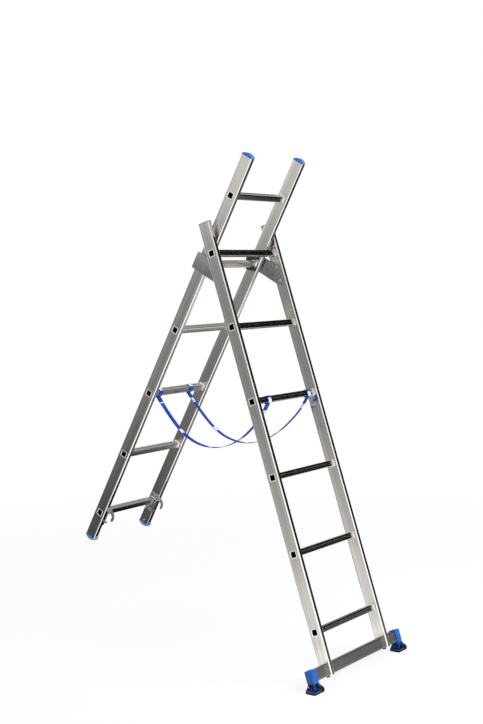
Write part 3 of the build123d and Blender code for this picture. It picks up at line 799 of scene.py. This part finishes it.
def deepen(piece, steps):
    """Take the painted shade of the hollows over their rolled edges, face by face."""
    mesh = bmesh.new()
    mesh.from_mesh(piece.data)
    for _ in range(steps):
        rim = {f for face in mesh.faces if face.material_index == HOLLOW_SHADE_SLOT
               for e in face.edges for f in e.link_faces if f.material_index == WORN_SLOT}
        for face in rim:
            face.material_index = HOLLOW_SHADE_SLOT
    mesh.to_mesh(piece.data)
    mesh.free()


def mark(piece, boot):
    """Mark the edges to roll, and a boot's hollows between its ribs, which take painted shade: faces that
    turn in at most edges.
    """
    mesh = bmesh.from_edit_mesh(piece.data)
    roll = mesh.edges.layers.float.new("bevel_weight_edge")
    sharp, bend = math.radians(40), 0.2
    for face in mesh.faces if boot else ():
        turns = [edge.calc_face_angle_signed(0) for edge in face.edges]
        inward, outward = sum(t < -bend for t in turns), sum(t > bend for t in turns)
        hollow = inward > outward and face.calc_center_median().z < HOLLOW_TOP
        face.material_index = HOLLOW_SHADE_SLOT if hollow else 0
    widen(mesh, share=0.45)
    for edge in mesh.edges:
        dark = all(face.material_index == HOLLOW_SHADE_SLOT for face in edge.link_faces)
        cut = any(face.select for face in edge.link_faces)
        edge[roll] = 1.0 if edge.calc_face_angle(0) > sharp and not dark and not cut else 0.0
    bmesh.update_edit_mesh(piece.data)


class LADDER_OT_softened(Operator):
    """Round the edges of the pressed, cut and moulded pieces"""
    bl_idname = "ladder.softened"
    bl_label = "Soft edges"

    def execute(self, context):
        edge = context.scene.ladder_mouldings.edge
        plans = (("SIDE_bracket", edge, "front_section"), ("SIDE_rung_jaw", edge, "front_section"),
                 ("SIDE_hook", edge, "rear_section"), ("SIDE_catch", edge / 2, "SIDE_catch"),
                 ("SIDE_bar_shoe", edge, "front_section"), ("SIDE_tread", edge / 2, "front_section"),
                 ("front_SIDE_top_plug", edge, "front_section"), ("rear_SIDE_top_cap", edge, "rear_section"),
                 ("rear_SIDE_foot", edge / 2, "rear_section"))
        for pattern, width, body in plans:
            for side in SIDES:
                node = pattern.replace("SIDE", side)
                face = finish_of(node)
                # the third finish, the black tread rubber, paints a boot's hollows as painted shade
                piece = rounded(node, width, (face, WORN.get(face, f"{face}_edge"), "tread_rubber"))
                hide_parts(node)
                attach(piece, body.replace("SIDE", side))
        return {"FINISHED"}


SHANK = 3 * MM
HEXAGON, HEXAGON_HEIGHT = 7.5 * MM, 5.3 * MM
WASHER_RADIUS = 8 * MM
RIVET_GAP = 14 * MM  # rivets of one node are further apart than this


def fastener_spots(node, section):
    """The separate pieces of a fastener node: the sign of each one's side, and the ends of its box."""
    up = TURN[section].to_3x3() @ UP
    groups = []
    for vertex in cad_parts[node].data.vertices:
        point = vertex.co.copy()
        for sign, height, points in groups:
            if sign * point.x > 0 and abs(height - point.dot(up)) < RIVET_GAP:
                points.append(point)
                break
        else:
            groups.append((1 if point.x > 0 else -1, point.dot(up), [point]))
    return [(sign, ends(points)) for sign, _, points in groups]


def keep_fastener(piece, node, section, material):
    face_out(piece)
    settle(piece, f"{node}_smooth")
    paint(piece, material)
    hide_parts(node)
    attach(piece, f"{section}_section")


def domed_rivet(inner, outer, radius, height):
    """A rivet whose domed head, dimpled by its pulled pin, is towards the middle of the ladder."""
    start_alone()
    bpy.ops.mesh.primitive_circle_add(vertices=28, radius=SHANK, fill_type="NGON",
                                      location=(outer, 0, 0), rotation=(0, math.pi / 2, 0))
    piece = begun()
    bpy.ops.mesh.select_mode(type="FACE")
    bpy.ops.mesh.select_all(action="SELECT")
    seat, rim = inner + height, 0.18
    steps = [(seat, SHANK), (seat, radius), (seat - rim * height, radius)]
    for turn in (25, 50, 70):
        lift = math.radians(turn)
        steps.append((seat - (rim + (1 - rim) * math.sin(lift)) * height, radius * math.cos(lift)))
    dimple = [(inner + 0.02 * MM, 0.26 * radius), (inner + 0.25 * height, 0.2 * radius)]
    grow_end(steps + dimple, (outer, SHANK))
    object_mode()
    return piece


def hexagon_bolt(low, high):
    """A hexagon bolt from below, with a chamfered head; sizes in the front section's own turn."""
    head = HEXAGON_HEIGHT
    start_alone()
    bpy.ops.mesh.primitive_cylinder_add(
        vertices=6, radius=HEXAGON, depth=head,
        location=(centre_of(low, high, 0), centre_of(low, high, 1), low[2] + head / 2))
    piece = begun()
    pick(piece, faces=lambda f: f.normal.z < -0.9)
    bpy.ops.mesh.inset(thickness=0.7 * MM, depth=0.5 * MM)
    bpy.ops.mesh.inset(thickness=0.8 * MM, depth=-0.25 * MM)
    pick(piece, faces=lambda f: f.normal.z > 0.9)
    bpy.ops.mesh.inset(thickness=2.6 * MM)
    bpy.ops.mesh.extrude_region_move(TRANSFORM_OT_translate={"value": (0, 0, high[2] - low[2] - head)})
    object_mode()
    return piece


def stamped_washer(low, high):
    """A stamped washer with rolled edges."""
    start_alone()
    bpy.ops.mesh.primitive_cylinder_add(vertices=36, radius=WASHER_RADIUS, depth=high[2] - low[2],
                                        location=[centre_of(low, high, axis) for axis in range(3)])
    piece = begun()
    pick(piece, edges=lambda e: abs(e.verts[0].co.z - e.verts[1].co.z) < TOUCH)
    bpy.ops.mesh.bevel(offset=0.3 * MM, segments=2, affect="EDGES")
    object_mode()
    return piece


class LADDER_OT_fasteners(Operator):
    """Set the domed rivets, catch pins, bolts and washers"""
    bl_idname = "ladder.fasteners"
    bl_label = "Fasteners"

    def execute(self, context):
        rivet, pin = (5.5 * MM, 2.6 * MM), (4.9 * MM, 1.5 * MM)
        for node, section, head in (("bracket_rivets", "front", rivet), ("hook_rivets", "rear", rivet),
                                    ("foot_rivets", "rear", rivet), ("catch_pins", "rear", pin)):
            heads = []
            for sign, (low, high) in fastener_spots(node, section):
                inner, outer = (low[0], high[0]) if sign > 0 else (-high[0], -low[0])
                heads.append(settle(domed_rivet(inner, outer, *head), node, Matrix.Diagonal((sign, 1, 1, 1)),
                                    (0, centre_of(low, high, 1), centre_of(low, high, 2))))
            keep_fastener(joined(heads), node, section, "zinc_plate")
        inverse = TURN["front"].inverted()
        for node, build in (("bar_bolts", hexagon_bolt), ("bar_washers", stamped_washer)):
            pair = []
            for sign in (-1, 1):
                points = [inverse @ v.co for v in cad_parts[node].data.vertices if v.co.x * sign > 0]
                pair.append(settle(build(*ends(points)), node, TURN["front"]))
            keep_fastener(joined(pair), node, "front", "blackened_steel")
        return {"FINISHED"}


LOOP_REACH, LOOP_CORNER = 13.5 * MM, 4.4 * MM  # the outside of a loop, from the rung's middle
PLY_GAP = 0.15 * MM
# half of the webbing's outline: shares of its half width and half thickness
SELVEDGE = [(-1.0, 0.0), (-0.985, 0.6), (-0.93, 1.0), (-0.6, 0.9), (0, 0.86), (0.6, 0.9), (0.93, 1.0),
            (0.985, 0.6), (1.0, 0.0)]


def strap_line(route):
    """Points along the smooth line that a route's points shape."""
    curve = bpy.data.curves.new("strap_line", "CURVE")
    curve.dimensions = "3D"
    spline = curve.splines.new("NURBS")
    spline.points.add(len(route) - 1)
    for point, spot in zip(spline.points, route):
        point.co = (*spot, 1.0)
    spline.order_u = 3
    spline.use_endpoint_u = True
    spline.resolution_u = 10
    holder = bpy.data.objects.new("strap_line", curve)
    mesh = bpy.data.meshes.new_from_object(holder)
    points = [v.co.copy() for v in mesh.vertices]
    bpy.data.curves.remove(curve)  # with its holder
    bpy.data.meshes.remove(mesh)
    return points


def band(name, points, levels, sizes):
    """Flat webbing along points; its map runs along and across it, in metres."""
    half, thick = sizes.width / 2, sizes.thickness / 2
    outline = SELVEDGE + [(a, -b) for a, b in SELVEDGE[-2:0:-1]]
    count, last = len(outline), len(points) - 1
    distances, verts = [0.0], []
    for before, after in zip(points, points[1:]):
        distances.append(distances[-1] + (after - before).length)
    for i, (point, level) in enumerate(zip(points, levels)):
        facing = level.cross(heading(points, i)).normalized()
        verts += [point + level * (a * half) + facing * (b * thick) for a, b in outline]
    panels = [((i, j), (i, k), (i + 1, k), (i + 1, j)) for i in range(last)
              for j, k in zip(range(count), (*range(1, count), 0))]
    panels += [[(0, j) for j in reversed(range(count))], [(last, j) for j in range(count)]]
    mesh = bpy.data.meshes.new(name)
    mesh.from_pydata(verts, [], [[i * count + j for i, j in panel] for panel in panels])
    layer = mesh.uv_layers.new(name="webbing")
    for corner, (i, j) in zip(layer.data, (spot for panel in panels for spot in panel)):
        corner.uv = (distances[i], outline[j][0] * half)
    mesh.update()
    piece = linked(name, mesh)
    face_out(piece)
    bpy.ops.object.shade_smooth_by_angle(angle=math.radians(60))
    return piece


def sewn_loop(node, section, line, level, sizes):
    """Webbing round a rung, its two ends sewn on both sides of the strap."""
    spot = middle(node)
    turn = TURN[section].to_3x3()
    ply = sizes.thickness + PLY_GAP
    reach, corner = LOOP_REACH - sizes.thickness / 2, LOOP_CORNER
    tail = [p for p in line if (p - line[0]).length < SEAM]
    toward = turn.inverted() @ (tail[-1] - tail[0])
    start = math.atan2(toward.z, toward.y)
    outline = []
    for step in range(12, 349, 8):
        angle = start + math.radians(step)
        y, z = math.cos(angle), math.sin(angle)
        r = reach / max(abs(y), abs(z))
        if math.hypot(*(max(abs(c) * r - (reach - corner), 0) for c in (y, z))) > corner:
            r = round_corner(y, z, reach, corner)
        outline.append(spot + turn @ Vector((0, y * r, z * r)))
    facing = [level.cross(heading(tail, i)).normalized() for i in range(len(tail))]
    if (outline[0] - tail[0]).dot(facing[0]) < 0:
        ply = -ply
    first = [p + f * ply for p, f in zip(tail, facing)]
    second = [p - f * ply for p, f in zip(tail, facing)]
    across = Vector((math.copysign(1, level.x), 0, 0))
    widths = [level] * len(tail) + [across] * len(outline) + [level] * len(tail)
    return band(f"{node}_sewn", first[::-1] + outline + second, widths, sizes)


def round_corner(y, z, reach, corner):
    """Distance from the middle to a rounded square's corner arc, along (y, z)."""
    centre = reach - corner
    cy, cz = math.copysign(centre, y), math.copysign(centre, z)
    along = y * cy + z * cz
    return along + math.sqrt(max(along * along - (cy * cy + cz * cz - corner * corner), 0))


class LADDER_OT_straps(Operator):
    """Hang the two webbing straps and sew their loops round the rungs"""
    bl_idname = "ladder.straps"
    bl_label = "Straps"

    # places along Y, with the left strap's height there and the right strap's X and height
    course = (
        (-0.2675, 0.9647, 0.148, 0.9647), (-0.2487, 0.9287, 0.1453, 0.9287),
        (-0.2084, 0.8807, 0.1396, 0.8807), (-0.1483, 0.8267, 0.1311, 0.8247),
        (-0.073, 0.7907, 0.1205, 0.7837), (0.008, 0.7817, 0.109, 0.7707),
        (0.0854, 0.8007, 0.098, 0.7907), (0.1456, 0.8407, 0.0895, 0.8337),
        (0.1994, 0.8967, 0.0819, 0.8937), (0.2345, 0.9397, 0.077, 0.9397), (0.2554, 0.9677, 0.074, 0.9677))
    routes = {"left": [(-0.112, y, z) for y, z, _, _ in course],
              "right": [(x, y, z) for y, _, x, z in course]}
    lengths = {"left": 0.666, "right": 0.681}

    def execute(self, context):
        sizes = context.scene.ladder_webbing
        for side in SIDES:
            route = self.routes[side]
            line = strap_line(route)
            run = Vector(route[-1]) - Vector(route[0])
            level = UP.cross(run).normalized()
            strap = band(f"{side}_strap_webbing", line, [level] * len(line), sizes)
            paint(strap, "strap_webbing")
            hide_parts(f"{side}_strap")
            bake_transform(strap)
            for section, points in (("front", line), ("rear", line[::-1])):
                node = f"{side}_strap_{section}_loop"
                loop = sewn_loop(node, section, points, level, sizes)
                paint(loop, "loop_webbing")
                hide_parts(node)
                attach(loop, f"{section}_section")
        return {"FINISHED"}


FLOOR_SIZE = 60
CAMERA_OFFSET = (-3.83472, -2.37236, 1.28101)  # from the middle of the lowest front rung
CAMERA_TURN = (53.62, -4.309, -0.826)  # yaw, pitch and roll in degrees


def white_to_eye(tree):
    """One where a ray is the eye's own, or comes by a mirror or glass."""
    path = put(tree, "ShaderNodeLightPath")
    seen = path["Is Camera Ray"].maths("MAXIMUM", path["Is Glossy Ray"])
    return seen.maths("MAXIMUM", path["Is Transmission Ray"])


def add_floor(sizes):
    """A pale floor that keeps the shadow near the ladder and is white further off."""
    start_alone()
    bpy.ops.mesh.primitive_plane_add(size=FLOOR_SIZE)
    floor = bpy.context.object
    floor.name = "floor"
    material, tree, bsdf = new_material("floor")
    feed(bsdf, {"Base Color": sizes.floor, "Roughness": 0.9})
    white = made(tree, "ShaderNodeEmission", {"Color": WHITE, "Strength": 1.0})
    away = put(tree, "ShaderNodeVectorMath", {0: coords(tree)}, operation="LENGTH")["Value"]
    share = white_to_eye(tree) * away.spread(1.2, 3.5, 0.82, 1.0)
    mixed = made(tree, "ShaderNodeMixShader", {0: share, 1: Value(bsdf.outputs[0]), 2: white})
    feed(tree.nodes["Material Output"], {"Surface": mixed})
    floor.data.materials.append(material)


def add_card(name, spot, size, turn, tones):
    """A card that only shows in the metal."""
    start_alone()
    bpy.ops.mesh.primitive_plane_add(size=1)
    card = bpy.context.object
    card.name = name
    stand = Euler([math.radians(a) for a in turn]).to_matrix().to_4x4()
    card.matrix_world = Matrix.Translation(spot) @ stand @ Matrix.Diagonal((*size, 1, 1))
    card.data.materials.append(glow(name, *tones))
    for ray in ("camera", "diffuse", "shadow", "transmission"):
        setattr(card, f"visible_{ray}", False)


def add_lamp(name, spot, target, size, power):
    """A square lamp that lights and doesn't show."""
    data = bpy.data.lights.new(name, "AREA")
    data.shape = "SQUARE"
    data.size = size
    data.energy = power
    lamp = linked(name, data)
    lamp.location = spot
    lamp.rotation_euler = (Vector(target) - Vector(spot)).to_track_quat("-Z", "Y").to_euler()
    lamp.visible_camera = False
    lamp.visible_glossy = False


def add_world(sizes):
    """Even light on the ladder, before a white background."""
    world = bpy.data.worlds.new("studio")
    world.use_nodes = True
    tree = world.node_tree
    room = tree.nodes["Background"]
    feed(room, {"Color": WHITE, "Strength": sizes.sky})
    white = made(tree, "ShaderNodeBackground", {"Color": WHITE, "Strength": 1.0})
    mixed = made(tree, "ShaderNodeMixShader", {0: white_to_eye(tree), 1: Value(room.outputs[0]), 2: white})
    feed(tree.nodes["World Output"], {"Surface": mixed})
    bpy.context.scene.world = world


def add_camera(sizes):
    data = bpy.data.cameras.new("camera")
    data.sensor_width = 36
    data.lens = sizes.lens
    data.clip_end = 200
    camera = linked("camera", data)
    yaw, pitch, roll = (math.radians(a) for a in CAMERA_TURN)
    turn = (Matrix.Rotation(-yaw, 4, "Z") @ Matrix.Rotation(math.pi / 2 + pitch, 4, "X")
            @ Matrix.Rotation(roll, 4, "Z"))
    spot = middle("front_rung_1") + Vector(CAMERA_OFFSET)
    camera.matrix_world = Matrix.Translation(spot) @ turn
    bpy.context.scene.camera = camera


class LADDER_OT_stage(Operator):
    """Set the floor, the lamps and cards of the studio, and the camera"""
    bl_idname = "ladder.stage"
    bl_label = "Stage"

    # name, place, height and width, turn in degrees, and the tones that glow takes
    cards = (
        ("front_dark_card", (2.4, -2.4, 1.9), (3.8, 3.6), (0, -90, 0), (0.1, 0.01, 0.4)),
        ("front_low_card", (2.38, -2.4, 0.25), (0.5, 3.6), (0, -90, 0), (0.01, 0.22, -0.5)),
        ("rear_dark_card", (2.4, 0.6, 0.85), (1.7, 2.4), (0, -90, 0), (0.35, 0.35)),
        ("floor_dark_card", (1.5, -2.6, 0.02), (1.8, 3.0), (0, 0, 0), (0.1, 0.1)),
        ("ground_dark_card", (0.1, 0.65, 0.015), (0.8, 1.15), (0, 0, 0), (0.005, 0.005)),
        ("ground_grey_card", (1.4, 0.25, 0.015), (1.8, 1.7), (0, 0, 180), (0.01, 0.28, 0.2, 1.5)),
        ("rear_top_card", (2.4, 0.75, 3.0), (2.6, 2.6), (0, -90, 0), (0.55, 0.55)),
        ("window_card", (-6.4, -9.2, 2.6), (5.2, 25.6), (0, 90, 55), (1.2, 1.2)),
        ("front_soft_card", (0, -6.0, 4.7), (5.0, 9.0), (0, 90, 90), (0.9, 0.25, -0.3)),
        ("floor_light_card", (-0.9, -1.2, 0.012), (1.8, 1.7), (0, 0, 0), (1.25, 1.25)),
        ("side_grey_card", (-1.25, 0.52, 1.2), (2.4, 2.0), (0, 90, -36.4), (0.75, 0.35, 0.15)),
        ("low_dark_card", (-0.6, 1.2, 0.65), (1.3, 0.9), (0, 90, -36.4), (0.04, 0.34, -0.5)),
        ("high_light_card", (-1.24, 0.512, 1.95), (1.0, 2.0), (0, 90, -36.4), (0.35, 0.85, 0.1)),
    )
    # name, place, target, size and share of the key lamp's power
    lamps = (
        ("key_lamp", (0.9, -3.6, 3.2), (0, -0.1, 0.9), 3.0, 1),
        ("top_lamp", (-0.6, 0.6, 4.2), (0, 0, 0.8), 2.6, 0.3),
    )

    def execute(self, context):
        sizes = context.scene.ladder_stage
        add_floor(sizes)
        for row in self.cards:
            add_card(*row)
        for name, spot, target, size, share in self.lamps:
            add_lamp(name, spot, target, size, share * sizes.key)
        add_world(sizes)
        add_camera(sizes)
        context.scene.view_settings.view_transform = "Standard"
        return {"FINISHED"}


OPERATORS = (LADDER_OT_finishes, LADDER_OT_straps, LADDER_OT_rungs, LADDER_OT_softened,
             LADDER_OT_fasteners, LADDER_OT_stage)


class LADDER_PT_panel(Panel):
    """Lists the ladder's settings and steps"""
    bl_idname = "LADDER_PT_panel"
    bl_label = "Combination ladder"
    bl_space_type = "VIEW_3D"
    bl_region_type = "UI"
    bl_category = "Ladder"

    def draw(self, context):
        for name, group in SETTINGS.items():
            box = self.layout.box()
            for key in group.__annotations__:
                box.prop(getattr(context.scene, name), key)
        for step in OPERATORS:
            self.layout.operator(step.bl_idname)


CLASSES = (*SETTINGS.values(), *OPERATORS, LADDER_PT_panel)


def register():
    for item in CLASSES:
        bpy.utils.register_class(item)
    for name, group in SETTINGS.items():
        setattr(bpy.types.Scene, name, PointerProperty(type=group))


def unregister():
    for name in SETTINGS:
        delattr(bpy.types.Scene, name)
    for item in reversed(CLASSES):
        bpy.utils.unregister_class(item)


def main():
    register()
    for step in OPERATORS:
        getattr(bpy.ops.ladder, step.bl_idname.split(".")[1])()
    bpy.context.view_layer.update()


if __name__ == "__main__":
    main()
